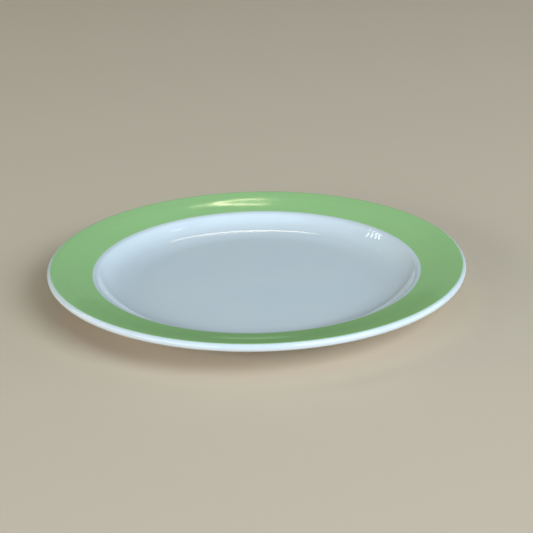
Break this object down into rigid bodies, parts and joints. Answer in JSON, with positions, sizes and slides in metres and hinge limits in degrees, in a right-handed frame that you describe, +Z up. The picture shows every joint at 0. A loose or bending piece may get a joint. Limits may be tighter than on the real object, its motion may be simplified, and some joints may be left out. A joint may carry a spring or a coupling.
{
  "type": "dinner plate",
  "caption": "Round glazed porcelain dinner plate with a shallow white well, a wide green rim band, a rolled white lip and a bare foot ring.",
  "frame": {"origin": "centre of the foot ring's standing edge, on the surface that the plate stands on", "axes": "+Z up along the plate's axis of turning; X and Y lie in the table plane and are free, because the plate is round"},
  "size_m": [0.27, 0.27, 0.0229],
  "materials": {
    "fired_clay": "matt, bare only on the standing edge of the foot ring",
    "white_glaze": "high gloss, cool white",
    "green_glaze": "high gloss, mid green with faint rings from the banding wheel"
  },
  "bodies": {
    "root": {"porcelain_body": "fired_clay", "well_glaze": "white_glaze", "rim_band": "green_glaze", "back_glaze": "white_glaze", "base_glaze": "white_glaze"}
  },
  "joints": []
}
